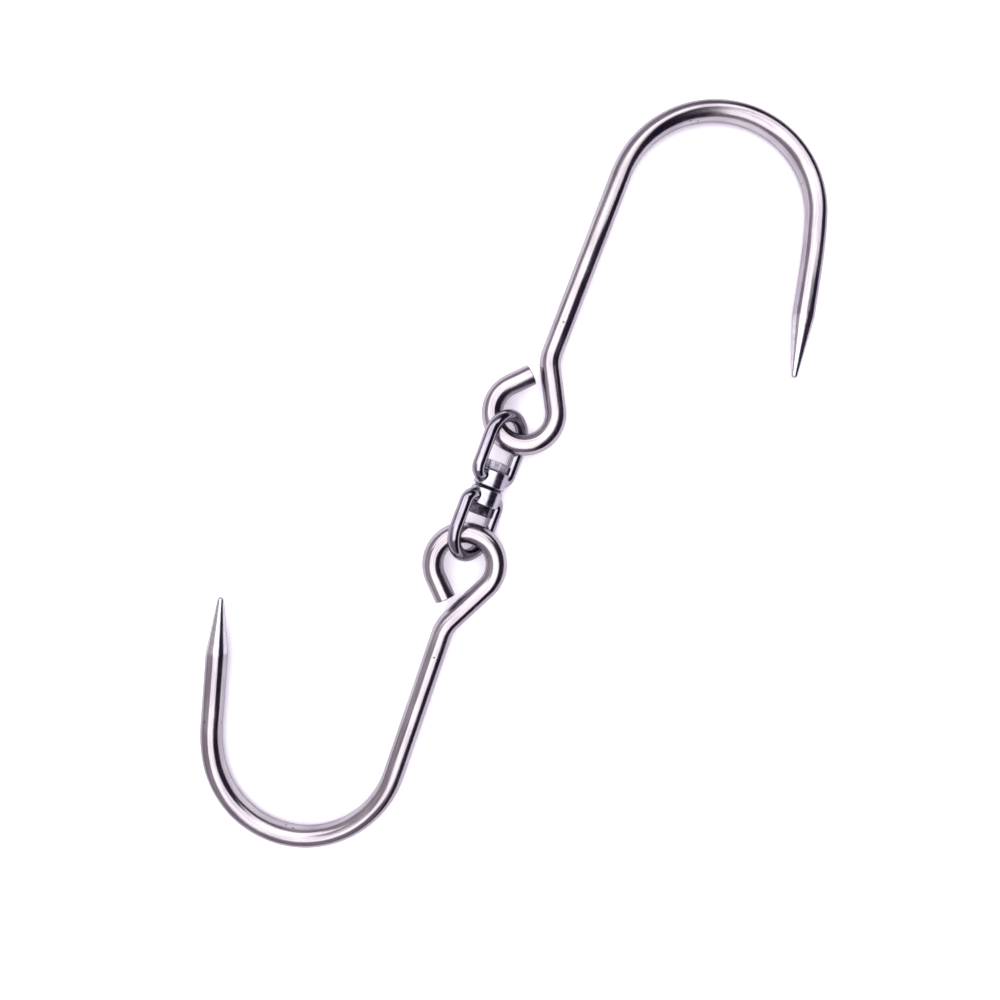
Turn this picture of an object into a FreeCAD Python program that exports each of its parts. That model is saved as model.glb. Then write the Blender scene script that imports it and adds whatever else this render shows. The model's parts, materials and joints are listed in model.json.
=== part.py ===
# Double-ended swivel meat hook, lying on its side on a flat surface.
#
# Two hooks bent from round stainless bar hang on a bolted swivel. A wire bail passes through
# the eye of each hook and has its two ends pressed into a turned collar. One hex bolt and nut
# hold the two collars face to face and let them turn.
#
# Frame: +Y runs along the swivel axis from the load hook to the rail hook and +Z is up.
# The origin is under the middle of the whole assembly, on the surface that it lies on.
import FreeCAD, Part
import math
import os
import Sketcher

from FreeCAD import Placement, Rotation, Vector

# Millimetres and degrees.
SIZES = {
    # Both hooks: the bar, the eye at its one end and the point at its other.
    "bar_diameter": 8.0,
    "eye_radius": 12.0,
    "neck_slant": 28.0,
    "neck_bend_radius": 14.0,
    "tail_slant": 43.0,
    "tail_gap": 2.0,
    "tip_diameter": 2.5,
    # Rail hook, the longer one. Its eye closes on the side away from its bend. The round bend
    # of each hook eases into the straight leg through a wider arc.
    "rail_shank_offset": 1.8,
    "rail_shank_length": 99.6,
    "rail_bend_radius": 38.7,
    "rail_bend_turn": 162.8,
    "rail_ease_radius": 200.0,
    "rail_ease_turn": 5.9,
    "rail_leg_length": 18.9,
    "rail_taper_length": 23.6,
    "rail_eye_shift": 3.0,
    "rail_yaw": -0.7,
    "rail_slack": 2.9,
    "rail_drop": 0.8,
    # Load hook. Its eye closes on the same side as its bend.
    "load_shank_offset": 0.4,
    "load_shank_length": 85.7,
    "load_bend_radius": 35.7,
    "load_bend_turn": 150.8,
    "load_ease_radius": 54.0,
    "load_ease_turn": 15.4,
    "load_leg_length": 27.7,
    "load_taper_length": 21.3,
    "load_eye_shift": 1.7,
    "load_yaw": 1.3,
    "load_slack": 2.4,
    "load_drop": 0.4,
    # Wire bails.
    "wire_diameter": 4.8,
    "elbow_radius": 3.4,
    "stub_length": 0.4,
    "stub_depth": 2.6,
    "lean_gap": 1.3,
    "rail_reach": 30.8,
    "load_reach": 29.3,
    # Collars.
    "collar_diameter": 12.0,
    "collar_edge": 0.35,
    "collar_gap": 0.8,
    "inner_wall": 1.1,
    "outer_wall": 0.5,
    # Bolt and nut.
    "bolt_diameter": 5.0,
    "bore_clearance": 0.1,
    "end_clearance": 0.1,
    "hex_width": 8.0,
    "hex_chamfer": 0.4,
    "head_height": 3.4,
    "nut_height": 3.8,
    "head_turn": -5.0,
    "nut_turn": 20.0,
}

ORIGIN = Vector(0, 0, 0)
UP = Vector(0, 0, 1)

# Sketcher's names for its own axes and for the ends of a piece of geometry.
SKETCH_ORIGIN = (-1, 1)
H_AXIS = -1
V_AXIS = -2
START, END, CENTRE = 1, 2, 3

doc = FreeCAD.newDocument("swivel_meat_hook")
sheet = doc.addObject("Spreadsheet::Sheet", "Sizes")
for row, (alias, value) in enumerate(SIZES.items(), start=1):
    sheet.set(f"A{row}", alias)
    sheet.set(f"B{row}", str(value))
    sheet.setAlias(f"B{row}", alias)
doc.recompute()


def size(alias):
    return float(getattr(sheet, alias))


def polar(centre, radius, angle):
    """Point at an angle in degrees round a centre."""
    turn = math.radians(angle)
    return centre + Vector(math.cos(turn), math.sin(turn), 0) * radius


# ---- bodies, sketches and features -------------------------------------------------------


def new_body(name):
    body = doc.addObject("PartDesign::Body", name)
    body.Label = name
    return body


def datum(body, role):
    return next(item for item in body.Origin.OriginFeatures if item.Role == role)


def new_sketch(body, name, role):
    sketch = body.newObject("Sketcher::SketchObject", name)
    sketch.AttachmentSupport = [(datum(body, role), "")]
    sketch.MapMode = "FlatFace"
    return sketch


def fix(sketch, kind, *where):
    return sketch.addConstraint(Sketcher.Constraint(kind, *where))


def bind(sketch, expression, kind, *where):
    """Add a dimension to a sketch and bind it to an expression."""
    value = sketch.evalExpression(expression)
    if kind == "Angle":
        value = math.radians(float(value))
    sketch.setExpression(f"Constraints[{fix(sketch, kind, *where, value)}]", expression)


def new_feature(body, kind, name, profile):
    feature = body.newObject(f"PartDesign::{kind}", name)
    feature.Profile = profile
    return feature


def revolve(body, kind, name, profile):
    """Revolution or Groove of a sketch round its own vertical axis."""
    feature = new_feature(body, kind, name, profile)
    feature.ReferenceAxis = (profile, ["V_Axis"])
    feature.Angle = 360
    return feature


def sweep(body, name, section, path):
    pipe = new_feature(body, "AdditivePipe", name, section)
    edges = [f"Edge{number}" for number in range(1, path.GeometryCount + 1)]
    pipe.Spine = (path, edges)
    return pipe


def mirror(body, name, feature):
    """Repeat a feature on the other side of the body's YZ plane."""
    both = body.newObject("PartDesign::Mirrored", name)
    both.Originals = [feature]
    both.MirrorPlane = (datum(body, "YZ_Plane"), [""])
    body.Tip = both
    return both


def round_section(body, name, height, diameter):
    """Circle on the YZ plane for a path that crosses it square, at Y = height."""
    section = new_sketch(body, name, "YZ_Plane")
    section.addGeometry(Part.Circle(polar(ORIGIN, 1, 0), UP, 1))
    fix(section, "PointOnObject", 0, CENTRE, H_AXIS)
    bind(section, height, "DistanceX", *SKETCH_ORIGIN, 0, CENTRE)
    bind(section, f"Sizes.{diameter}", "Diameter", 0)
    return section


def polygon(sketch, points):
    """Closed outline of straight lines through the points."""
    count = len(points)
    for first, last in zip(points, points[1:] + points[:1]):
        sketch.addGeometry(Part.LineSegment(first, last))
    for line in range(count):
        fix(sketch, "Coincident", line, END, (line + 1) % count, START)


class Path:
    """A run of straight lines and tangent arcs, drawn in a sketch from its first point."""

    def __init__(self, sketch, start, heading):
        self.sketch = sketch
        self.point = start
        self.heading = heading
        self.last = None

    def _join(self, piece, first, last):
        if self.last:
            fix(self.sketch, "Tangent", *self.last, piece, first)
        self.last = (piece, last)

    def line(self, length):
        end = polar(self.point, length, self.heading)
        piece = self.sketch.addGeometry(Part.LineSegment(self.point, end))
        self._join(piece, START, END)
        self.point = end
        return piece

    def arc(self, radius, turn, expression):
        """Turn by an angle in degrees, to the left when it is positive."""
        side = math.copysign(90, turn)
        centre = polar(self.point, radius, self.heading + side)
        begin = self.heading - side
        low, high = sorted((begin, begin + turn))
        circle = Part.Circle(centre, UP, radius)
        arc = Part.ArcOfCircle(circle, math.radians(low), math.radians(high))
        piece = self.sketch.addGeometry(arc)
        if turn > 0:
            self._join(piece, START, END)
        else:
            self._join(piece, END, START)
        bind(self.sketch, expression, "Radius", piece)
        self.point = polar(centre, radius, begin + turn)
        self.heading += turn
        return piece


# ---- hooks -------------------------------------------------------------------------------
# A hook's own frame has its origin at the centre of the eye and the shank along +Y. The bend
# turns towards +X. The neck leaves the eye on the side given by `side`, and the straight tail
# closes the eye from the other side.


def eye_arc(path, side, slant):
    """Half of the eye, from its lowest point round to where the neck or the tail leaves it."""
    arc = path.arc(size("eye_radius"), side * (90 + slant), "Sizes.eye_radius")
    fix(path.sketch, "Coincident", arc, CENTRE, *SKETCH_ORIGIN)
    fix(path.sketch, "PointOnObject", arc, START if side > 0 else END, V_AXIS)
    return arc


def eye_path(sketch, side):
    start = Vector(0, -size("eye_radius"), 0)
    return Path(sketch, start, 90 - side * 90)


def shank_path(body, name, side):
    """Eye, neck, shank, bend, its easing and the leg. Returns the sketch and the path's end."""
    slant = size("neck_slant")
    offset = size(f"{name}_shank_offset")
    lean = math.radians(slant)
    run = (size("eye_radius") * math.cos(lean) - offset) / math.sin(lean)
    crease = size("eye_radius") * math.sin(lean) + run * math.cos(lean)
    setback = size("neck_bend_radius") * math.tan(lean / 2)

    sketch = new_sketch(body, "shank_path", "XY_Plane")
    path = eye_path(sketch, side)
    eye_arc(path, side, slant)
    neck = path.line(run - setback)
    path.arc(size("neck_bend_radius"), -side * slant, "Sizes.neck_bend_radius")
    shank = path.line(size(f"{name}_shank_length") - crease - setback)
    path.arc(size(f"{name}_bend_radius"), -size(f"{name}_bend_turn"), f"Sizes.{name}_bend_radius")
    ease = path.arc(size(f"{name}_ease_radius"), -size(f"{name}_ease_turn"), f"Sizes.{name}_ease_radius")
    leg = path.line(size(f"{name}_leg_length"))

    bind(sketch, f"90 deg + {side} * Sizes.neck_slant * 1 deg", "Angle", neck)
    fix(sketch, "Vertical", shank)
    shift = f"{side} * Sizes.{name}_shank_offset"
    bind(sketch, shift, "DistanceX", *SKETCH_ORIGIN, shank, END)
    bind(sketch, f"Sizes.{name}_shank_length", "DistanceY", *SKETCH_ORIGIN, shank, END)
    bind(sketch, f"Sizes.{name}_ease_turn * 1 deg", "Angle", ease)
    turn = f"(Sizes.{name}_bend_turn + Sizes.{name}_ease_turn)"
    bind(sketch, f"90 deg - {turn} * 1 deg", "Angle", leg)
    bind(sketch, f"Sizes.{name}_leg_length", "Distance", leg)
    return sketch, path


def tail_path(body, side):
    """The other half of the eye and the straight tail, cut square just short of the neck."""
    slant = size("tail_slant")
    inner = "(Sizes.eye_radius - Sizes.bar_diameter / 2)"
    both = "(Sizes.tail_slant + Sizes.neck_slant)"
    length = f"({inner} * (1 + cos({both})) - Sizes.tail_gap) / sin({both})"

    sketch = new_sketch(body, "tail_path", "XY_Plane")
    path = eye_path(sketch, -side)
    eye_arc(path, -side, slant)
    tail = path.line(sketch.evalExpression(length))
    bind(sketch, f"90 deg - {side} * Sizes.tail_slant * 1 deg", "Angle", tail)
    bind(sketch, length, "Distance", tail)
    return sketch


def tip_profile(body, name, path):
    """Half outline of the tapered point, along the leg from where the straight bar ends."""
    sketch = new_sketch(body, "tip_profile", "XY_Plane")
    sketch.AttachmentOffset = Placement(path.point, Rotation(UP, path.heading - 90))
    base = size("bar_diameter") / 2
    nose = size("tip_diameter") / 2
    length = size(f"{name}_taper_length")
    ball = Vector(0, length - nose, 0)
    corner = Vector(base, 0, 0)
    cheek = ball + Vector(nose, 0, 0)
    top = Vector(0, length, 0)
    sketch.addGeometry(Part.LineSegment(ORIGIN, corner))
    sketch.addGeometry(Part.LineSegment(corner, cheek))
    sketch.addGeometry(Part.ArcOfCircle(Part.Circle(ball, UP, nose), 0, math.pi / 2))
    sketch.addGeometry(Part.LineSegment(top, ORIGIN))
    fix(sketch, "Coincident", 0, START, *SKETCH_ORIGIN)
    fix(sketch, "PointOnObject", 0, END, H_AXIS)
    fix(sketch, "Coincident", 0, END, 1, START)
    fix(sketch, "Tangent", 1, END, 2, START)
    fix(sketch, "Coincident", 2, END, 3, START)
    fix(sketch, "Coincident", 3, END, *SKETCH_ORIGIN)
    fix(sketch, "PointOnObject", 2, CENTRE, V_AXIS)
    fix(sketch, "PointOnObject", 2, END, V_AXIS)
    bind(sketch, "Sizes.bar_diameter / 2", "Distance", 0)
    bind(sketch, "Sizes.tip_diameter / 2", "Radius", 2)
    bind(sketch, f"Sizes.{name}_taper_length", "Distance", 3)
    return sketch


def make_hook(name, side):
    body = new_body(f"{name}_hook")
    section = round_section(body, "bar_section", "-Sizes.eye_radius", "bar_diameter")
    spine, path = shank_path(body, name, side)
    sweep(body, "shank", section, spine)
    sweep(body, "tail", section, tail_path(body, side))
    revolve(body, "Revolution", "tip", tip_profile(body, name, path))
    return body


# ---- swivel ------------------------------------------------------------------------------
# A bail and its collar share a frame: the origin is half way between the two collars, the
# swivel axis is Y and the bail's crown is at the +Y end.

HALF_SPREAD = "(Sizes.collar_diameter / 2 + Sizes.stub_length + Sizes.elbow_radius)"
SOCKET_Y = "(Sizes.collar_gap / 2 + Sizes.inner_wall + Sizes.wire_diameter / 2)"
COLLAR_LENGTH = "(Sizes.inner_wall + Sizes.wire_diameter + Sizes.outer_wall)"


def half_spread():
    """Distance from the swivel axis to the centreline of a bail's leg."""
    return size("collar_diameter") / 2 + size("stub_length") + size("elbow_radius")


def socket_y():
    return size("collar_gap") / 2 + size("inner_wall") + size("wire_diameter") / 2


def collar_length():
    return size("inner_wall") + size("wire_diameter") + size("outer_wall")


def make_bail(name):
    """Half of the bail is swept from the top of its crown and mirrored."""
    body = new_body(f"{name}_bail")
    crown_top = f"(Sizes.{name}_reach - Sizes.wire_diameter / 2)"
    section = round_section(body, "wire_section", crown_top, "wire_diameter")
    sketch = new_sketch(body, "wire_path", "XY_Plane")
    top = size(f"{name}_reach") - size("wire_diameter") / 2
    leg_length = top - half_spread() - size("elbow_radius") - socket_y()

    path = Path(sketch, Vector(0, top, 0), 0)
    crown = path.arc(half_spread(), -90, HALF_SPREAD)
    leg = path.line(leg_length)
    path.arc(size("elbow_radius"), -90, "Sizes.elbow_radius")
    stub = path.line(size("stub_length") + size("stub_depth"))
    fix(sketch, "PointOnObject", crown, CENTRE, V_AXIS)
    fix(sketch, "PointOnObject", crown, END, V_AXIS)
    fix(sketch, "Vertical", leg)
    fix(sketch, "Horizontal", stub)
    bind(sketch, crown_top, "DistanceY", *SKETCH_ORIGIN, crown, END)
    bind(sketch, SOCKET_Y, "DistanceY", *SKETCH_ORIGIN, stub, END)
    bind(sketch, "Sizes.stub_length + Sizes.stub_depth", "Distance", stub)
    mirror(body, "both_legs", sweep(body, "one_leg", section, sketch))
    return body


def make_collar(name):
    """Turned ring with the bolt's bore, and a blind socket in each side for the bail's ends."""
    body = new_body(f"{name}_collar")
    bore = size("bolt_diameter") / 2 + size("bore_clearance")
    outer = size("collar_diameter") / 2
    low = size("collar_gap") / 2
    high = low + collar_length()
    ring = new_sketch(body, "ring_profile", "XY_Plane")
    corners = [(bore, low), (outer, low), (outer, high), (bore, high)]
    polygon(ring, [Vector(x, y, 0) for x, y in corners])
    for line in (0, 2):
        fix(ring, "Horizontal", line)
    for line in (1, 3):
        fix(ring, "Vertical", line)
    bore_radius = "Sizes.bolt_diameter / 2 + Sizes.bore_clearance"
    bind(ring, bore_radius, "DistanceX", *SKETCH_ORIGIN, 0, START)
    bind(ring, "Sizes.collar_diameter / 2", "DistanceX", *SKETCH_ORIGIN, 0, END)
    bind(ring, "Sizes.collar_gap / 2", "DistanceY", *SKETCH_ORIGIN, 0, END)
    bind(ring, COLLAR_LENGTH, "Distance", 1)
    blank = revolve(body, "Revolution", "ring", ring)
    doc.recompute()

    rims = [
        f"Edge{number}"
        for number, edge in enumerate(blank.Shape.Edges, start=1)
        if isinstance(edge.Curve, Part.Circle) and math.isclose(edge.Curve.Radius, outer)
    ]
    edge = body.newObject("PartDesign::Chamfer", "outer_edges")
    edge.Base = (blank, rims)
    edge.setExpression("Size", "Sizes.collar_edge")
    doc.recompute()

    mouth = new_sketch(body, "socket_mouth", "YZ_Plane")
    mouth.setExpression(
        "AttachmentOffset.Base.z", "Sizes.collar_diameter / 2 - Sizes.stub_depth"
    )
    mouth.addGeometry(Part.Circle(polar(ORIGIN, 1, 0), UP, 1))
    fix(mouth, "PointOnObject", 0, CENTRE, H_AXIS)
    bind(mouth, SOCKET_Y, "DistanceX", *SKETCH_ORIGIN, 0, CENTRE)
    bind(mouth, "Sizes.wire_diameter", "Diameter", 0)
    socket = new_feature(body, "Pocket", "socket", mouth)
    socket.setExpression("Length", "Sizes.collar_diameter")
    socket.Reversed = True
    mirror(body, "both_sockets", socket)
    return body


def hex_blank(body, height):
    """Hexagon that stands on the XZ plane, with the corners of its far end chamfered."""
    across = size("hex_width") / math.cos(math.pi / 6)
    outline = new_sketch(body, "hexagon", "XZ_Plane")
    polygon(outline, [polar(ORIGIN, across / 2, 60 * corner) for corner in range(6)])
    rim = outline.addGeometry(Part.Circle(ORIGIN, UP, across / 2), True)
    fix(outline, "Coincident", rim, CENTRE, *SKETCH_ORIGIN)
    fix(outline, "PointOnObject", 0, START, H_AXIS)
    for line in range(6):
        fix(outline, "PointOnObject", line, START, rim)
    for line in range(1, 6):
        fix(outline, "Equal", 0, line)
    bind(outline, "Sizes.hex_width / cos(30)", "Diameter", rim)
    blank = new_feature(body, "Pad", "hex_blank", outline)
    blank.setExpression("Length", f"Sizes.{height}")
    blank.Reversed = True

    corner_cut = new_sketch(body, "corner_cut", "XY_Plane")
    top = size(height)
    start = across / 2 - size("hex_chamfer") / math.tan(math.pi / 6)
    reach = size("hex_width")
    drop = (reach - start) * math.tan(math.pi / 6)
    corners = [(start, top), (reach, top - drop), (reach, top)]
    polygon(corner_cut, [Vector(x, y, 0) for x, y in corners])
    fix(corner_cut, "Vertical", 1)
    fix(corner_cut, "Horizontal", 2)
    begin = "Sizes.hex_width / cos(30) / 2 - Sizes.hex_chamfer / tan(30)"
    bind(corner_cut, begin, "DistanceX", *SKETCH_ORIGIN, 0, START)
    bind(corner_cut, f"Sizes.{height}", "DistanceY", *SKETCH_ORIGIN, 0, START)
    bind(corner_cut, "Sizes.hex_width", "DistanceX", *SKETCH_ORIGIN, 2, START)
    bind(corner_cut, "-30 deg", "Angle", 0)
    revolve(body, "Groove", "corner_chamfer", corner_cut)


def grip_length():
    """From under the bolt's head to the nut's face: both collars, their gap and running play."""
    return 2 * (collar_length() + size("end_clearance")) + size("collar_gap")


def make_bolt():
    """Hex bolt in its own frame: the underside of the head is at Y = 0 and the shank is below."""
    body = new_body("swivel_bolt")
    hex_blank(body, "head_height")
    shank = new_sketch(body, "bolt_section", "XZ_Plane")
    shank.addGeometry(Part.Circle(ORIGIN, UP, 1))
    fix(shank, "Coincident", 0, CENTRE, *SKETCH_ORIGIN)
    bind(shank, "Sizes.bolt_diameter", "Diameter", 0)
    rod = new_feature(body, "Pad", "bolt_shank", shank)
    grip = f"2 * ({COLLAR_LENGTH} + Sizes.end_clearance) + Sizes.collar_gap"
    rod.setExpression("Length", f"{grip} + Sizes.nut_height")
    return body


def make_nut():
    """Hex nut in its own frame: its face on the collar is at Y = 0."""
    body = new_body("swivel_nut")
    hex_blank(body, "nut_height")
    thread = new_sketch(body, "thread_bore", "XZ_Plane")
    thread.addGeometry(Part.Circle(ORIGIN, UP, 1))
    fix(thread, "Coincident", 0, CENTRE, *SKETCH_ORIGIN)
    bind(thread, "Sizes.bolt_diameter", "Diameter", 0)
    bore = new_feature(body, "Pocket", "thread", thread)
    bore.Type = "ThroughAll"
    bore.Midplane = True
    return body


# ---- the pose on the surface -------------------------------------------------------------


def eye_station(name):
    """Distance of the eye's centre from the middle of the swivel."""
    crown_inside = size(f"{name}_reach") - size("wire_diameter")
    return crown_inside - size(f"{name}_slack") - size("bar_diameter") / 2 + size("eye_radius")


def leg_height():
    """Height of a bail over the swivel axis where it clears the bar of the eye."""
    return (size("wire_diameter") + size("bar_diameter")) / 2 + size("lean_gap")


def crown_centre(name):
    """Distance from the middle of the swivel to the centre of a bail's round crown."""
    return size(f"{name}_reach") - size("wire_diameter") / 2 - half_spread()


def crossing(name):
    """Distance from the middle of the swivel to where the bail passes the bar of the eye.

    The bail passes it either on its round crown or on its straight legs.
    """
    half = half_spread()
    eye = eye_station(name)
    crown = crown_centre(name)
    ring = size("eye_radius") ** 2 + leg_height() ** 2
    on_crown = (eye**2 - crown**2 + half**2 - ring) / (2 * (eye - crown))
    if on_crown >= crown:
        return on_crown
    return eye - math.sqrt(ring - half**2)


def bail_lean(name):
    """Angle of a bail's plane to the surface, from its half width where it passes the eye."""
    beyond = max(crossing(name) - crown_centre(name), 0)
    width = math.sqrt(half_spread() ** 2 - beyond**2)
    return math.asin(leg_height() / width)


def axis_height():
    """The lower leg of the steeper bail lies on the surface."""
    steepest = max(bail_lean("rail"), bail_lean("load"))
    return size("wire_diameter") / 2 + half_spread() * math.sin(steepest)


def hook_placement(name, side, end):
    """The eye hangs on the bail and the far side of the bend touches the surface.

    `end` is 1 for the hook at the +Y end and -1 for the other. The eye lies a little under
    the swivel axis where the bail crosses it, so that both legs of the bail clear the bar.
    """
    eye = eye_station(name)
    station = crossing(name)
    yaw = Rotation(UP, size(f"{name}_yaw") + (0 if end > 0 else 180))
    bend = Vector(
        side * size(f"{name}_shank_offset") + size(f"{name}_bend_radius"),
        size(f"{name}_shank_length"),
        0,
    )
    far = eye + end * yaw.multVec(bend).y + size(f"{name}_bend_radius")
    height = axis_height() - size(f"{name}_drop")
    climb = height - size("bar_diameter") / 2
    pitch = math.degrees(math.asin(climb / (far - station)))

    flat = Placement(Vector(size(f"{name}_eye_shift"), end * eye, height), yaw)
    pivot = Vector(0, end * station, height)
    tilt = Placement(ORIGIN, Rotation(Vector(1, 0, 0), -end * pitch), pivot)
    return tilt * flat


def swivel_placement(turn, flip, y=0.0):
    """On the swivel axis, rolled about it by `turn` degrees, pointing to -Y if flipped."""
    roll = Rotation(Vector(0, 1, 0), turn)
    if flip:
        roll = roll * Rotation(UP, 180)
    return Placement(Vector(0, y, axis_height()), roll)


def assemble():
    """Make every piece and put it in its place, by the height of the swivel axis."""
    rail_lean = math.degrees(bail_lean("rail"))
    load_lean = math.degrees(bail_lean("load"))
    seat = grip_length() / 2
    places = [
        (make_hook("rail", 1), hook_placement("rail", 1, 1)),
        (make_bail("rail"), swivel_placement(rail_lean, False)),
        (make_collar("rail"), swivel_placement(rail_lean, False)),
        (make_bolt(), swivel_placement(size("head_turn"), False, seat)),
        (make_nut(), swivel_placement(size("nut_turn"), True, -seat)),
        (make_collar("load"), swivel_placement(load_lean, True)),
        (make_bail("load"), swivel_placement(load_lean, True)),
        (make_hook("load", -1), hook_placement("load", -1, -1)),
    ]
    for body, placement in places:
        body.Placement = placement
    return [body for body, placement in places]


def stand_on_origin(bodies):
    """Shift everything so that the origin is at the bottom centre of the bounding box."""
    box = FreeCAD.BoundBox()
    for body in bodies:
        box.add(body.Shape.optimalBoundingBox(False, False))
    shift = Vector(-box.Center.x, -box.Center.y, -box.ZMin)
    for body in bodies:
        body.Placement = Placement(shift, Rotation()) * body.Placement


def check(bodies):
    for item in doc.Objects:
        if "Invalid" in item.State or "Error" in item.State:
            raise RuntimeError(f"{item.Name} did not recompute: {item.State}")
    for body in bodies:
        if body.Shape.isNull() or not body.Shape.isValid() or len(body.Shape.Solids) != 1:
            raise RuntimeError(f"{body.Label} is not one valid solid")


bodies = assemble()
doc.recompute()
stand_on_origin(bodies)
doc.recompute()
check(bodies)

os.makedirs("parts", exist_ok=True)
for body in bodies:
    body.Shape.exportStep(f"parts/{body.Label}.step")
    print(f"{body.Label:12s} {body.Shape.Volume:10.1f} mm3")
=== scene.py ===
# Double-ended swivel meat hook: two hooks bent from round stainless bar, two wire bails, and a
# swivel of two turned collars held face to face by a hex bolt and nut. It lies on its side.
# Sizes are in millimetres and degrees, and MM turns them into metres. The lights are in metres.
import json
import math

import bpy
from mathutils import Matrix, Vector


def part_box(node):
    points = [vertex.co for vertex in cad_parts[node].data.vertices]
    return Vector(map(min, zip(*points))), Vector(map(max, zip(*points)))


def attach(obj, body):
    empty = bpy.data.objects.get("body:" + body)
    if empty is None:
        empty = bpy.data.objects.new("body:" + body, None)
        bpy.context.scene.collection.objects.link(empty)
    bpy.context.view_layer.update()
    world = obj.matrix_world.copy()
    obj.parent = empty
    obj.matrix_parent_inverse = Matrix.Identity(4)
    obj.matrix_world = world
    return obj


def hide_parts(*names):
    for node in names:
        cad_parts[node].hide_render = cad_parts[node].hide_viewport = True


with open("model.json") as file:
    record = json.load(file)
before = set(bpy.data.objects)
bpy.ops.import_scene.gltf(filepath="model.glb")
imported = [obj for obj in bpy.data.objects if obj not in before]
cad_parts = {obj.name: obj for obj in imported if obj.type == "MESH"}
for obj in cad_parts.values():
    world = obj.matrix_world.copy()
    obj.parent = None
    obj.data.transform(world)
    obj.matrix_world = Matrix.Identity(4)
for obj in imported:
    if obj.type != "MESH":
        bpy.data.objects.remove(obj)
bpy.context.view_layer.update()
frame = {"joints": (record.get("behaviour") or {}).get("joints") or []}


# ---- hooks -------------------------------------------------------------------------------
# Both hooks are round stainless bar, cold bent: an eye with a square-cut tail, a slanted neck,
# a shank, a round bend and a straight leg. The end of the leg is ground to a blunt point. The
# bar keeps the lengthwise lines of its drawing, and has dulled, scratched and pitted with use.

MM = 0.001
BAR = 8.0
BAR_SIDES = 64
EYE_RADIUS = 12.0
NECK_SLANT = 28.0
NECK_BEND_RADIUS = 14.0
TAIL_SLANT = 43.0
TAIL_GAP = 2.0
TAIL_EDGE = (0.08, 0.2)
TIP = 2.5
TIP_STEPS = 18
NOSE_STEPS = 6
NOSE_FLAT = 0.08

joints = {joint["name"]: joint for joint in frame["joints"]}


class Bender:
    """One length of round stock, drawn out along straights and spun round bends."""

    def __init__(self, name, diameter, sides, at, heading):
        bpy.ops.object.select_all(action="DESELECT")
        square = (math.radians(90), 0, math.radians(heading + 90))
        bpy.ops.mesh.primitive_circle_add(
            vertices=sides, radius=diameter / 2 * MM, location=at * MM, rotation=square
        )
        self.piece = bpy.context.object
        self.piece.name = name
        self.piece.data.name = name
        bpy.ops.object.transform_apply()
        bpy.ops.object.mode_set(mode="EDIT")
        bpy.ops.mesh.select_all(action="SELECT")
        self.sides = sides
        self.radius = diameter / 2
        self.at = at
        self.heading = heading

    def straight(self, length, steps=1):
        angle = math.radians(self.heading)
        step = Vector((math.cos(angle), math.sin(angle), 0)) * (length / steps)
        for _ in range(steps):
            bpy.ops.mesh.extrude_region_move(TRANSFORM_OT_translate={"value": step * MM})
            self.at = self.at + step

    def swell(self, length, radius):
        """A short straight over which the stock's radius changes."""
        self.straight(length)
        grow = radius / self.radius
        bpy.ops.transform.resize(value=(grow, grow, grow), center_override=self.at * MM)
        self.radius = radius

    def bend(self, radius, turn, steps):
        """Bend by an angle in degrees, to the left when it is positive. Spin counts clockwise."""
        side = math.radians(self.heading + math.copysign(90, turn))
        centre = self.at + Vector((math.cos(side), math.sin(side), 0)) * radius
        bpy.ops.mesh.spin(
            steps=steps, angle=-math.radians(turn), center=centre * MM, axis=(0, 0, 1)
        )
        swing = Matrix.Rotation(math.radians(turn), 3, "Z")
        self.at = centre + swing @ (self.at - centre)
        self.heading += turn

    def finish(self):
        """Close both ends and store each point's place on the unbent stock, as `grain`."""
        bpy.ops.object.mode_set(mode="OBJECT")
        mesh = self.piece.data
        places = [vertex.co.copy() for vertex in mesh.vertices]
        rings = [places[start : start + self.sides] for start in range(0, len(places), self.sides)]
        centres = [sum(ring, Vector()) / self.sides for ring in rings]
        ahead = (centres[1] - centres[0]).normalized()
        length = 0.0
        grain = mesh.attributes.new("grain", "FLOAT_VECTOR", "POINT")
        for number, (ring, centre) in enumerate(zip(rings, centres)):
            if number:
                step = centre - centres[number - 1]
                length += step.length
                ahead = step.normalized()
            across = Vector((-ahead.y, ahead.x, 0))
            for corner, place in enumerate(ring, start=number * self.sides):
                offset = place - centre
                grain.data[corner].vector = (offset.dot(across), offset.z, length)
        bpy.ops.object.mode_set(mode="EDIT")
        close_and_face_out()
        bpy.ops.object.mode_set(mode="OBJECT")
        return self.piece, length / MM


def close_and_face_out():
    """In edit mode: close open ends and turn all faces outwards."""
    bpy.ops.mesh.select_all(action="SELECT")
    bpy.ops.mesh.remove_doubles(threshold=0.002 * MM)
    bpy.ops.mesh.fill_holes(sides=0)
    bpy.ops.mesh.select_all(action="SELECT")
    bpy.ops.mesh.normals_make_consistent(inside=False)


def put(piece, place, material, body, node):
    """Take a piece from its own frame to its place, and leave its object at the origin."""
    bpy.ops.object.select_all(action="DESELECT")
    bpy.context.view_layer.objects.active = piece
    piece.select_set(True)
    piece.matrix_world = place
    bpy.ops.object.transform_apply()
    bpy.ops.object.shade_smooth_by_angle(angle=math.radians(32))
    piece.data.materials.clear()
    piece.data.materials.append(material)
    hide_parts(node)
    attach(piece, body)


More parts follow.
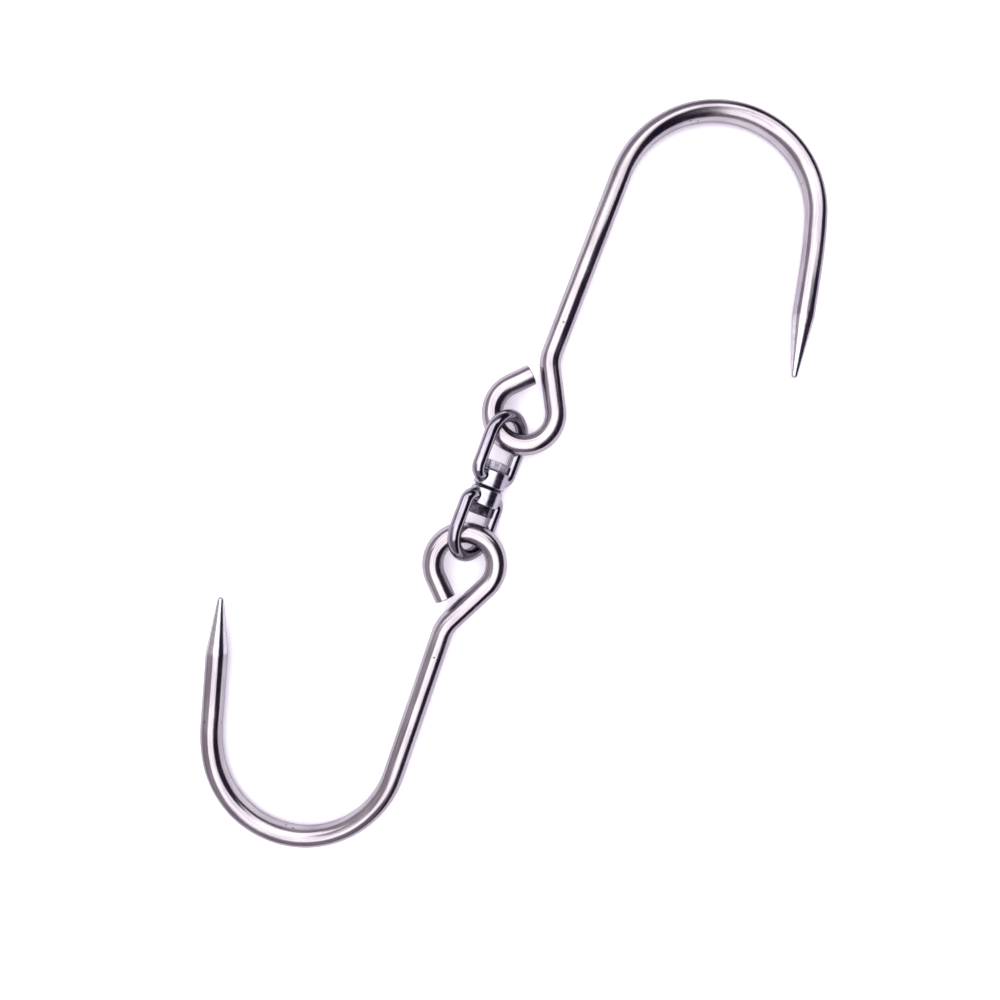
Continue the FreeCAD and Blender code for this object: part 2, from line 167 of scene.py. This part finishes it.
class Steel:
    """A stainless finish: grain, wear and pits that set its colour, gloss and relief."""

    def __init__(self, name):
        self.material = bpy.data.materials.new(name)
        self.material.use_nodes = True
        self.nodes = self.material.node_tree.nodes
        self.shader = self.nodes["Principled BSDF"]
        self.shader.inputs["Metallic"].default_value = 1.0
        self.shader.inputs["Specular Tint"].default_value = (0.62, 0.58, 0.64, 1.0)

    def join(self, value, socket):
        """Set a socket to a number or a colour, or link it to another node's output."""
        if isinstance(value, bpy.types.NodeSocket):
            self.material.node_tree.links.new(value, socket)
        else:
            socket.default_value = value

    def grain(self):
        node = self.nodes.new("ShaderNodeAttribute")
        node.attribute_name = "grain"
        return node.outputs["Vector"]

    def parts(self, vector):
        node = self.nodes.new("ShaderNodeSeparateXYZ")
        self.join(vector, node.inputs["Vector"])
        return node.outputs

    def noise(self, place, size, stretch=(1, 1, 1), detail=3.0):
        """Noise of about a size in millimetres, drawn out along each axis by a factor."""
        mapping = self.nodes.new("ShaderNodeMapping")
        mapping.inputs["Scale"].default_value = [1 / factor for factor in stretch]
        self.join(place, mapping.inputs["Vector"])
        texture = self.nodes.new("ShaderNodeTexNoise")
        texture.inputs["Scale"].default_value = 1 / (size * MM)
        texture.inputs["Detail"].default_value = detail
        self.join(mapping.outputs["Vector"], texture.inputs["Vector"])
        return texture.outputs["Fac"]

    def pits(self, place, spacing, radius, share):
        """1 at the middle of small pits, which only a share of the cells of a pattern have."""
        cells = self.nodes.new("ShaderNodeTexVoronoi")
        cells.inputs["Scale"].default_value = 1 / (spacing * MM)
        self.join(place, cells.inputs["Vector"])
        size = radius / spacing
        near = self.spread(cells.outputs["Distance"], size * 0.35, size, 1.0, 0.0)
        colour = self.nodes.new("ShaderNodeSeparateColor")
        self.join(cells.outputs["Color"], colour.inputs["Color"])
        chosen = self.math("LESS_THAN", colour.outputs["Red"], share)
        return self.math("MULTIPLY", near, chosen)

    def spread(self, value, from_low, from_high, low, high):
        node = self.nodes.new("ShaderNodeMapRange")
        self.join(value, node.inputs["Value"])
        for name, number in (
            ("From Min", from_low), ("From Max", from_high), ("To Min", low), ("To Max", high)
        ):
            node.inputs[name].default_value = number
        return node.outputs["Result"]

    def math(self, operation, first, second):
        node = self.nodes.new("ShaderNodeMath")
        node.operation = operation
        self.join(first, node.inputs[0])
        self.join(second, node.inputs[1])
        return node.outputs["Value"]

    def tones(self, value, low, dark, high, light):
        """Colour ramp from a dark colour at `low` to a light one at `high`."""
        node = self.nodes.new("ShaderNodeValToRGB")
        for element, place, colour in zip(node.color_ramp.elements, (low, high), (dark, light)):
            element.position = place
            element.color = (*colour, 1.0)
        self.join(value, node.inputs["Fac"])
        return node.outputs["Color"]

    def blend(self, factor, first, second, blend="MIX"):
        node = self.nodes.new("ShaderNodeMix")
        node.data_type = "RGBA"
        node.blend_type = blend
        inputs = [socket for socket in node.inputs if socket.enabled]
        for value, socket in zip((factor, first, second), inputs):
            self.join(value, socket)
        return next(socket for socket in node.outputs if socket.enabled)

    def paint_crevice_shade(self, colour, reach):
        """Paint shade into a colour: darken it where another surface is nearer than a reach in
        millimetres.
        """
        corner = self.nodes.new("ShaderNodeAmbientOcclusion")
        corner.samples = 8
        corner.inputs["Distance"].default_value = reach * MM
        # Painted shade: the nearer another surface, the darker the colour.
        painted_shade = self.spread(corner.outputs["AO"], 0.25, 0.9, 0.12, 1.0)
        return self.blend(1.0, colour, painted_shade, "MULTIPLY")

    def finish(self, colour, roughness, height, depth):
        """Depth is the relief's height in millimetres."""
        self.join(colour, self.shader.inputs["Base Color"])
        self.join(roughness, self.shader.inputs["Roughness"])
        bump = self.nodes.new("ShaderNodeBump")
        bump.inputs["Distance"].default_value = depth * MM
        self.join(height, bump.inputs["Height"])
        self.join(bump.outputs["Normal"], self.shader.inputs["Normal"])
        return self.material


PIT_COLOUR = (0.10, 0.085, 0.105, 1.0)


def bar_finish(taper_start):
    """Drawn bar with lengthwise lines, cloudy wear, fine scratches and a ground point."""
    steel = Steel("bent_bar_steel")
    grain = steel.grain()
    lines = steel.noise(grain, 0.7, (1, 1, 30), 4.0)
    hairs = steel.noise(grain, 0.2, (1, 1, 45), 2.0)
    clouds = steel.noise(grain, 6.0, (1, 1, 2.5), 4.0)
    scratches = steel.noise(grain, 1.1, (4, 4, 0.5), 1.0)
    grinding = steel.noise(grain, 0.4, (6, 6, 0.8), 3.0)
    pits = steel.pits(grain, 5.0, 0.55, 0.3)
    along = steel.parts(grain)["Z"]
    ground = steel.spread(along, (taper_start - 0.8) * MM, (taper_start + 0.6) * MM, 0.0, 1.0)

    colour = steel.tones(lines, 0.32, (0.33, 0.305, 0.325), 0.68, (0.47, 0.445, 0.465))
    worn = steel.tones(clouds, 0.35, (0.80, 0.77, 0.80), 0.62, (1.0, 1.0, 1.0))
    colour = steel.blend(1.0, colour, worn, "MULTIPLY")
    bright = steel.tones(grinding, 0.3, (0.40, 0.38, 0.41), 0.7, (0.58, 0.56, 0.59))
    colour = steel.blend(ground, colour, bright)
    colour = steel.blend(pits, colour, PIT_COLOUR)

    roughness = steel.spread(lines, 0.3, 0.7, 0.12, 0.24)
    roughness = steel.math("ADD", roughness, steel.spread(clouds, 0.3, 0.7, -0.03, 0.06))
    roughness = steel.math("ADD", roughness, steel.math("MULTIPLY", pits, 0.3))

    height = steel.math("ADD", lines, steel.math("MULTIPLY", hairs, 0.4))
    height = steel.math("SUBTRACT", height, steel.spread(scratches, 0.66, 0.76, 0.0, 0.5))
    height = steel.math("ADD", height, steel.math("MULTIPLY", ground, grinding))
    height = steel.math("SUBTRACT", height, steel.math("MULTIPLY", pits, 4.0))
    return steel.finish(colour, roughness, height, 0.008)


def make_hook(name, node, side, sizes, joint, body):
    """Bend a hook in its own frame: the eye's centre at the origin and the shank along +Y."""
    lean = math.radians(NECK_SLANT)
    both = math.radians(NECK_SLANT + TAIL_SLANT)
    tail = ((EYE_RADIUS - BAR / 2) * (1 + math.cos(both)) - TAIL_GAP) / math.sin(both)
    slant = math.radians(TAIL_SLANT)
    start = Vector((
        side * (tail * math.sin(slant) - EYE_RADIUS * math.cos(slant)),
        tail * math.cos(slant) + EYE_RADIUS * math.sin(slant),
        0,
    ))
    run = (EYE_RADIUS * math.cos(lean) - sizes["offset"]) / math.sin(lean)
    crease = EYE_RADIUS * math.sin(lean) + run * math.cos(lean)
    setback = NECK_BEND_RADIUS * math.tan(lean / 2)

    bar = Bender(name, BAR - 0.8, BAR_SIDES, start, 270 - side * TAIL_SLANT)
    bar.swell(TAIL_EDGE[0], BAR / 2 - 0.16)
    bar.swell(TAIL_EDGE[1], BAR / 2)
    bar.straight(tail - sum(TAIL_EDGE), 6)
    bar.bend(EYE_RADIUS, side * (180 + NECK_SLANT + TAIL_SLANT), 110)
    bar.straight(run - setback, 6)
    bar.bend(NECK_BEND_RADIUS, -side * NECK_SLANT, 18)
    bar.straight(sizes["shank"] - crease - setback, 30)
    bar.bend(sizes["bend"], -sizes["bend_turn"], 110)
    bar.bend(sizes["ease"], -sizes["ease_turn"], 12)
    bar.straight(sizes["leg"], 10)
    nose = TIP / 2
    for step in range(1, TIP_STEPS + 1):
        radius = BAR / 2 + (nose - BAR / 2) * step / TIP_STEPS
        bar.swell((sizes["taper"] - nose) / TIP_STEPS, radius)
    for step in range(NOSE_STEPS):
        low = math.radians(90 / NOSE_STEPS * step)
        high = math.radians(90 / NOSE_STEPS * (step + 1))
        ahead = nose * (math.sin(high) - math.sin(low))
        bar.swell(ahead, max(nose * math.cos(high), NOSE_FLAT))
    piece, length = bar.finish()

    normal = Vector(joint["axis"])
    pitch = Matrix.Rotation(math.atan2(-normal.y, normal.z), 4, "X")
    swing = Matrix.Rotation(math.radians(sizes["yaw"]), 4, "Z")
    place = Matrix.Translation(joint["pos_m"]) @ pitch @ swing
    put(piece, place, bar_finish(length - sizes["taper"]), body, node)


RAIL_HOOK = {
    "offset": 1.8, "shank": 99.6, "bend": 38.7, "bend_turn": 162.8,
    "ease": 200.0, "ease_turn": 5.9, "leg": 18.9, "taper": 23.6, "yaw": -0.7,
}
LOAD_HOOK = {
    "offset": 0.4, "shank": 85.7, "bend": 35.7, "bend_turn": 150.8,
    "ease": 54.0, "ease_turn": 15.4, "leg": 27.7, "taper": 21.3, "yaw": 181.3,
}
make_hook("rail_bar", "rail_hook", 1, RAIL_HOOK, joints["rail_eye_swing"], "rail_end")
make_hook("load_bar", "load_hook", -1, LOAD_HOOK, joints["load_eye_swing"], "load_end")


# ---- bails -------------------------------------------------------------------------------
# Each bail is thinner stainless wire, bent to a U round the eye of its hook. Its two ends turn
# in towards each other and are pressed into the sides of a collar. Rubbing in the eye has
# polished it smoother than the bar.

WIRE = 4.8
WIRE_SIDES = 48
ELBOW_RADIUS = 3.4
STUB = 0.4
STUB_DEPTH = 2.6
COLLAR = 12.0
COLLAR_GAP = 0.8
INNER_WALL = 1.1
OUTER_WALL = 0.5
HALF_SPREAD = COLLAR / 2 + STUB + ELBOW_RADIUS
SOCKET = COLLAR_GAP / 2 + INNER_WALL + WIRE / 2
RAIL_REACH = 30.8
LOAD_REACH = 29.3

swivel = Vector(joints["rail_swivel"]["pos_m"])


def wire_finish():
    """Polished wire: faint lengthwise lines, rubbed patches and a few nicks."""
    steel = Steel("bail_wire_steel")
    grain = steel.grain()
    lines = steel.noise(grain, 0.45, (1, 1, 25), 3.0)
    rubbed = steel.noise(grain, 3.5, (1, 1, 1.6), 3.0)
    scratches = steel.noise(grain, 0.6, (5, 5, 0.6), 1.0)
    pits = steel.pits(grain, 3.0, 0.28, 0.25)
    colour = steel.tones(lines, 0.3, (0.26, 0.245, 0.28), 0.7, (0.37, 0.355, 0.395))
    worn = steel.tones(rubbed, 0.35, (0.80, 0.78, 0.82), 0.65, (1.0, 1.0, 1.0))
    colour = steel.blend(1.0, colour, worn, "MULTIPLY")
    colour = steel.blend(pits, colour, PIT_COLOUR)
    # Painted shade: the wire is darkened within 2 mm of other surfaces.
    colour = steel.paint_crevice_shade(colour, 2.0)
    roughness = steel.spread(rubbed, 0.3, 0.7, 0.07, 0.18)
    height = steel.math("SUBTRACT", lines, steel.spread(scratches, 0.64, 0.76, 0.0, 0.6))
    height = steel.math("SUBTRACT", height, steel.math("MULTIPLY", pits, 3.0))
    return steel.finish(colour, roughness, height, 0.005)


def link_place(node, flip):
    """Where a bail and its collar sit: on the swivel axis, leaning as the bail's box shows."""
    low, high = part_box(node)
    rise = (high[2] - low[2]) / MM / 2 - WIRE / 2
    lean = Matrix.Rotation(math.asin(rise / HALF_SPREAD), 4, "Y")
    facing = Matrix.Rotation(math.radians(180 if flip else 0), 4, "Z")
    return Matrix.Translation(swivel) @ lean @ facing


def make_bail(name, node, flip, reach, material, body):
    """Bend a bail in its own frame: the swivel axis is Y and the crown is at the +Y end."""
    leg = reach - WIRE / 2 - HALF_SPREAD - ELBOW_RADIUS - SOCKET
    start = Vector((COLLAR / 2 - STUB_DEPTH, SOCKET, 0))
    wire = Bender(name, WIRE, WIRE_SIDES, start, 0)
    wire.straight(STUB_DEPTH + STUB, 4)
    wire.bend(ELBOW_RADIUS, 90, 20)
    wire.straight(leg, 8)
    wire.bend(HALF_SPREAD, 180, 72)
    wire.straight(leg, 8)
    wire.bend(ELBOW_RADIUS, 90, 20)
    wire.straight(STUB_DEPTH + STUB, 4)
    piece, _ = wire.finish()
    put(piece, link_place(node, flip), material, body, node)


bail_steel = wire_finish()
make_bail("rail_loop", "rail_bail", False, RAIL_REACH, bail_steel, "rail_link")
make_bail("load_loop", "load_bail", True, LOAD_REACH, bail_steel, "load_link")


# ---- collars -----------------------------------------------------------------------------
# The two collars are short rings turned from stainless rod, with broken edges, a bore for the
# bolt and a blind socket drilled in each side for the wire. Raised faces turn against each
# other, a hair apart, and leave a groove round the joint, painted near black as its shade.

COLLAR_LENGTH = INNER_WALL + WIRE + OUTER_WALL
COLLAR_EDGE = 0.35
FACE = 0.06
GROOVE_DEPTH = 0.9
# Near black, painted on the collar faces at the joint as the shade deep in the groove.
JOINT_SHADE_COLOUR = (0.012, 0.010, 0.016, 1.0)
BOLT = 5.0
BORE = BOLT / 2 + 0.1
BORE_EDGE = 0.2
BARREL_STEPS = 24
SOCKET_PLAY = 0.12


def turned(name, profile, sides, closed=False):
    """Turn a shape round the Y axis from (station, radius) pairs, as one ring after another."""
    bpy.ops.object.select_all(action="DESELECT")
    station, radius = profile[0]
    bpy.ops.mesh.primitive_circle_add(
        vertices=sides, radius=radius * MM, location=(0, station * MM, 0),
        rotation=(math.radians(90), 0, 0),
    )
    piece = bpy.context.object
    piece.name = name
    piece.data.name = name
    bpy.ops.object.transform_apply()
    bpy.ops.object.mode_set(mode="EDIT")
    bpy.ops.mesh.select_all(action="SELECT")
    pairs = profile[1:] + profile[:1] if closed else profile[1:]
    for next_station, next_radius in pairs:
        step = (0, (next_station - station) * MM, 0)
        bpy.ops.mesh.extrude_region_move(TRANSFORM_OT_translate={"value": step})
        grow = next_radius / radius
        middle = (0, next_station * MM, 0)
        bpy.ops.transform.resize(value=(grow, grow, grow), center_override=middle)
        station, radius = next_station, next_radius
    close_and_face_out()
    bpy.ops.object.mode_set(mode="OBJECT")
    return piece


def soften(width, sharpness=25):
    """In edit mode: round off the sharp edges of the piece."""
    bpy.ops.mesh.select_all(action="DESELECT")
    bpy.ops.mesh.select_mode(type="EDGE")
    bpy.ops.mesh.edges_select_sharp(sharpness=math.radians(sharpness))
    bpy.ops.mesh.bevel(offset=width * MM, segments=3, affect="EDGES")


def shape_with(piece, tool, operation):
    """Cut a piece with a tool, join it to it or keep what is in both, and remove the tool."""
    bpy.ops.object.select_all(action="DESELECT")
    bpy.context.view_layer.objects.active = piece
    piece.select_set(True)
    modifier = piece.modifiers.new("shape", "BOOLEAN")
    modifier.operation = operation
    modifier.solver = "EXACT"
    modifier.object = tool
    bpy.ops.object.modifier_apply(modifier=modifier.name)
    bpy.data.objects.remove(tool)


def turned_finish(name):
    """Fine rings from the lathe, on the barrel and on the faces, with dulled patches."""
    steel = Steel(name)
    coordinates = steel.nodes.new("ShaderNodeTexCoord")
    mapping = steel.nodes.new("ShaderNodeMapping")
    mapping.inputs["Location"].default_value = -swivel
    steel.join(coordinates.outputs["Object"], mapping.inputs["Vector"])
    place = mapping.outputs["Vector"]
    axes = steel.parts(place)
    square = steel.math("ADD", steel.math("POWER", axes["X"], 2.0), steel.math("POWER", axes["Z"], 2.0))
    radius = steel.math("SQRT", square, 0.0)
    ring = steel.nodes.new("ShaderNodeCombineXYZ")
    steel.join(radius, ring.inputs["X"])
    steel.join(axes["Y"], ring.inputs["Y"])
    rings = steel.noise(ring.outputs["Vector"], 0.12, (1, 1, 1), 3.0)
    bands = steel.noise(ring.outputs["Vector"], 0.9, (1, 1, 1), 2.0)
    patches = steel.noise(place, 3.0, (1, 1, 1), 4.0)
    nicks = steel.pits(place, 2.4, 0.3, 0.3)
    colour = steel.tones(rings, 0.3, (0.36, 0.34, 0.38), 0.7, (0.52, 0.50, 0.54))
    worn = steel.tones(patches, 0.35, (0.72, 0.69, 0.74), 0.65, (1.0, 1.0, 1.0))
    colour = steel.blend(1.0, colour, worn, "MULTIPLY")
    colour = steel.blend(nicks, colour, PIT_COLOUR)
    # Painted shade: the collars are darkened within 2 mm of other surfaces.
    colour = steel.paint_crevice_shade(colour, 2.0)
    # Painted shade: the faces round the joint are painted near black and made rougher, as the groove's
    # shade.
    off_joint = steel.math("ABSOLUTE", axes["Y"], 0.0)
    joint_shade = steel.math("LESS_THAN", off_joint, (COLLAR_GAP / 2 + 0.04) * MM)
    colour = steel.blend(joint_shade, colour, JOINT_SHADE_COLOUR)
    roughness = steel.spread(bands, 0.3, 0.7, 0.14, 0.26)
    roughness = steel.math("ADD", roughness, steel.math("MULTIPLY", joint_shade, 0.4))
    roughness = steel.math("ADD", roughness, steel.spread(patches, 0.3, 0.7, -0.03, 0.05))
    height = steel.math("ADD", rings, steel.math("MULTIPLY", bands, 0.8))
    height = steel.math("SUBTRACT", height, steel.math("MULTIPLY", nicks, 3.0))
    return steel.finish(colour, roughness, height, 0.006)


def make_collar(name, node, bail, flip, material, body):
    near = COLLAR_GAP / 2
    far = near + COLLAR_LENGTH
    outer = COLLAR / 2
    barrel_length = COLLAR_LENGTH - 2 * COLLAR_EDGE
    barrel = [
        (near + COLLAR_EDGE + barrel_length * step / BARREL_STEPS, outer)
        for step in range(BARREL_STEPS + 1)
    ]
    profile = [
        (FACE, BORE + BORE_EDGE),
        (FACE, outer - GROOVE_DEPTH),
        (near, outer - GROOVE_DEPTH),
        (near, outer - COLLAR_EDGE),
        *barrel,
        (far, outer - COLLAR_EDGE),
        (far, BORE + BORE_EDGE),
        (far - BORE_EDGE, BORE),
        (FACE + BORE_EDGE, BORE),
    ]
    piece = turned(name, profile, 160, closed=True)
    bpy.ops.object.mode_set(mode="EDIT")
    soften(0.07)
    bpy.ops.object.mode_set(mode="OBJECT")
    socket_radius = WIRE / 2 + SOCKET_PLAY
    for side in (1, -1):
        drill = turned("drill", [(outer - STUB_DEPTH, socket_radius), (COLLAR, socket_radius)], 64)
        across = Matrix.Rotation(math.radians(-90 * side), 4, "Z")
        drill.matrix_world = Matrix.Translation((0, SOCKET * MM, 0)) @ across
        bpy.context.view_layer.update()
        shape_with(piece, drill, "DIFFERENCE")
    put(piece, link_place(bail, flip), material, body, node)


collar_steel = turned_finish("turned_collar_steel")
make_collar("rail_ring", "rail_collar", "rail_bail", False, collar_steel, "rail_link")
make_collar("load_ring", "load_collar", "load_bail", True, collar_steel, "load_link")


# ---- bolt and nut ------------------------------------------------------------------------
# A hex bolt runs through both collars, with its head inside the rail bail and a full nut inside
# the load bail. Head and nut are cold formed: crisp flats, and corners chamfered to a circle.

HEX = 8.0
HEX_CORNER = HEX / 2 / math.cos(math.pi / 6)
HEX_CHAMFER = 0.4
HEAD_HEIGHT = 3.4
NUT_HEIGHT = 3.8
HEAD_TURN = -5.0
NUT_TURN = 20.0
END_PLAY = 0.1
SEAT = COLLAR_GAP / 2 + COLLAR_LENGTH + END_PLAY


def forged_finish():
    """Cold-formed steel: a fine orange-peel surface, brighter on rubbed spots."""
    steel = Steel("bolt_steel")
    coordinates = steel.nodes.new("ShaderNodeTexCoord")
    place = coordinates.outputs["Object"]
    peel = steel.noise(place, 0.35, (1, 1, 1), 4.0)
    patches = steel.noise(place, 2.2, (1, 1, 1), 4.0)
    drag = steel.noise(place, 0.3, (1, 12, 1), 3.0)
    nicks = steel.pits(place, 1.8, 0.25, 0.35)
    colour = steel.tones(patches, 0.32, (0.11, 0.10, 0.13), 0.66, (0.32, 0.30, 0.34))
    dull = steel.tones(drag, 0.3, (0.80, 0.78, 0.82), 0.7, (1.0, 1.0, 1.0))
    colour = steel.blend(1.0, colour, dull, "MULTIPLY")
    colour = steel.blend(nicks, colour, PIT_COLOUR)
    # Painted shade: the bolt and nut are darkened within 3 mm of other surfaces.
    colour = steel.paint_crevice_shade(colour, 3.0)
    roughness = steel.spread(patches, 0.3, 0.7, 0.16, 0.3)
    height = steel.math("ADD", peel, drag)
    height = steel.math("SUBTRACT", height, steel.math("MULTIPLY", nicks, 3.0))
    return steel.finish(colour, roughness, height, 0.006)


def hex_blank(name, height):
    """Hexagon on the XZ plane from Y = 0, its free end and its corners turned to a chamfer."""
    bpy.ops.object.select_all(action="DESELECT")
    bpy.ops.mesh.primitive_cylinder_add(
        vertices=6, radius=HEX_CORNER * MM, depth=height * MM,
        location=(0, height / 2 * MM, 0), rotation=(math.radians(90), math.radians(30), 0),
    )
    piece = bpy.context.object
    piece.name = name
    piece.data.name = name
    bpy.ops.object.transform_apply()
    bpy.ops.object.mode_set(mode="EDIT")
    bpy.ops.mesh.select_all(action="SELECT")
    bpy.ops.mesh.normals_make_consistent(inside=False)
    soften(0.12)
    bpy.ops.object.mode_set(mode="OBJECT")
    rim = HEX_CORNER - HEX_CHAMFER / math.tan(math.pi / 6)
    wide = HEX_CORNER + 0.6
    slope = math.tan(math.pi / 6)
    lathe = [
        (-1.0, wide),
        (height - (wide - rim) * slope, wide),
        (height - 0.3 * slope, rim + 0.3),
        (height - 0.05, rim),
        (height, rim - 0.25),
        (height + 0.0001, 0.3),
    ]
    shape_with(piece, turned("chamfer", lathe, 96), "INTERSECT")
    return piece


def on_axis(turn, flip):
    roll = Matrix.Rotation(math.radians(turn), 4, "Y")
    facing = Matrix.Rotation(math.radians(180 if flip else 0), 4, "Z")
    return Matrix.Translation(swivel) @ roll @ facing @ Matrix.Translation((0, SEAT * MM, 0))


bolt_steel = forged_finish()
bolt = hex_blank("bolt", HEAD_HEIGHT)
end = -(2 * SEAT + NUT_HEIGHT)
rod = [(0.4, BOLT / 2), (end + 0.4, BOLT / 2), (end + 0.08, BOLT / 2 - 0.32), (end, BOLT / 2 - 0.45)]
shape_with(bolt, turned("rod", rod, 64), "UNION")
put(bolt, on_axis(HEAD_TURN, False), bolt_steel, "spindle", "swivel_bolt")

nut = hex_blank("nut", NUT_HEIGHT)
tap = [
    (-1.0, BOLT / 2 + 1.3), (0.3, BOLT / 2), (NUT_HEIGHT - 0.3, BOLT / 2),
    (NUT_HEIGHT + 1.0, BOLT / 2 + 1.3),
]
shape_with(nut, turned("tap", tap, 64), "DIFFERENCE")
put(nut, on_axis(NUT_TURN, True), bolt_steel, "spindle", "swivel_nut")


# ---- table, light and camera -------------------------------------------------------------
# The hook lies on a plain pale table top. Three level panels close above it make the long
# highlights, and a fill that the steel doesn't mirror lights the table. One side of the room is
# dark, for the steel's dark reflections. The camera looks straight down.

IMAGE_TURN = 20.3
CAMERA_HEIGHT = 270.0
CAMERA_OFFSET = Vector((5.83, -2.74, 0))
SENSOR = 36.0
LENS = 24.88
PANEL_HEIGHT = 0.4
PANEL_RADIANCE = 2.4

bpy.ops.object.select_all(action="DESELECT")
bpy.ops.mesh.primitive_plane_add(size=12, location=(0, 0, 0))
table = bpy.context.object
table.name = "table_top"
paint = bpy.data.materials.new("pale_table")
paint.use_nodes = True
paint_shader = paint.node_tree.nodes["Principled BSDF"]
paint_shader.inputs["Base Color"].default_value = (0.90, 0.89, 0.92, 1.0)
paint_shader.inputs["Emission Color"].default_value = (0.85, 0.78, 1.0, 1.0)
paint_shader.inputs["Emission Strength"].default_value = 0.2
paint_shader.inputs["Roughness"].default_value = 0.7
paint_shader.inputs["Specular IOR Level"].default_value = 0.2
table.data.materials.append(paint)

eye = Vector((swivel.x, swivel.y, 0)) + (CAMERA_OFFSET + Vector((0, 0, CAMERA_HEIGHT))) * MM
camera = bpy.data.objects.new("camera", bpy.data.cameras.new("camera"))
bpy.context.collection.objects.link(camera)
camera.location = eye
camera.rotation_euler = (0, 0, math.radians(IMAGE_TURN))
camera.data.sensor_width = SENSOR
camera.data.lens = LENS
camera.data.clip_start = 0.01
bpy.context.scene.camera = camera

turn = Matrix.Rotation(math.radians(IMAGE_TURN), 3, "Z")
right = turn @ Vector((1, 0, 0))
up = turn @ Vector((0, 1, 0))


def soft_light(name, width, length, height, shift, radiance):
    """A level rectangle of light, turned with the camera. Its sizes are in metres."""
    light = bpy.data.objects.new(name, bpy.data.lights.new(name, "AREA"))
    bpy.context.collection.objects.link(light)
    light.data.shape = "RECTANGLE"
    light.data.size = width
    light.data.size_y = length
    light.data.energy = radiance * math.pi * width * length
    light.location = Vector((eye.x, eye.y, height)) + right * shift[0] + up * shift[1]
    light.rotation_euler = (0, 0, math.radians(IMAGE_TURN))
    light.visible_camera = False
    return light


soft_light("front_panel", 0.42, 0.47, PANEL_HEIGHT, (-0.02, -0.185), PANEL_RADIANCE)
soft_light("back_panel", 0.62, 0.45, PANEL_HEIGHT, (-0.13, 0.275), PANEL_RADIANCE)
soft_light("corner_panel", 0.3, 0.25, PANEL_HEIGHT, (0.33, 0.375), PANEL_RADIANCE)
fill = soft_light("fill", 4.0, 4.0, 2.0, (0, 0), 0.4)
fill.visible_glossy = False

world = bpy.data.worlds.new("room")
bpy.context.scene.world = world
world.use_nodes = True
room = world.node_tree.nodes
cables = world.node_tree.links
direction = room.new("ShaderNodeTexCoord").outputs["Generated"]


def wall_tones(axis, stops):
    """Colours of the room from one side (0) to the other (1) along an axis."""
    along = room.new("ShaderNodeVectorMath")
    along.operation = "DOT_PRODUCT"
    along.inputs[1].default_value = axis
    cables.new(direction, along.inputs[0])
    share = room.new("ShaderNodeMapRange")
    share.inputs["From Min"].default_value = -1.0
    cables.new(along.outputs["Value"], share.inputs["Value"])
    tones = room.new("ShaderNodeValToRGB")
    while len(tones.color_ramp.elements) < len(stops):
        tones.color_ramp.elements.new(0.5)
    for element, (place, colour) in zip(tones.color_ramp.elements, stops):
        element.position = place
        element.color = (*colour, 1.0)
    cables.new(share.outputs["Result"], tones.inputs["Fac"])
    return tones.outputs["Color"]


across = wall_tones(right, (
    (0.0, (0.72, 0.66, 0.71)), (0.45, (0.78, 0.72, 0.77)), (0.62, (0.50, 0.45, 0.52)),
    (0.71, (0.035, 0.022, 0.06)), (1.0, (0.035, 0.022, 0.06)),
))
lengthwise = wall_tones(up, (
    (0.0, (0.50, 0.48, 0.54)), (0.35, (0.80, 0.78, 0.82)), (0.5, (1.0, 1.0, 1.0)),
    (0.7, (0.85, 0.83, 0.88)), (1.0, (0.60, 0.57, 0.64)),
))
walls = room.new("ShaderNodeVectorMath")
walls.operation = "MULTIPLY"
cables.new(across, walls.inputs[0])
cables.new(lengthwise, walls.inputs[1])

backdrop = room.new("ShaderNodeBackground")
backdrop.inputs["Color"].default_value = (0.92, 0.915, 0.93, 1.0)
choice = room.new("ShaderNodeMixShader")
cables.new(room.new("ShaderNodeLightPath").outputs["Is Camera Ray"], choice.inputs[0])
cables.new(walls.outputs["Vector"], room["Background"].inputs["Color"])
cables.new(room["Background"].outputs[0], choice.inputs[1])
cables.new(backdrop.outputs[0], choice.inputs[2])
cables.new(choice.outputs[0], room["World Output"].inputs["Surface"])

bpy.context.scene.view_settings.view_transform = "Standard"
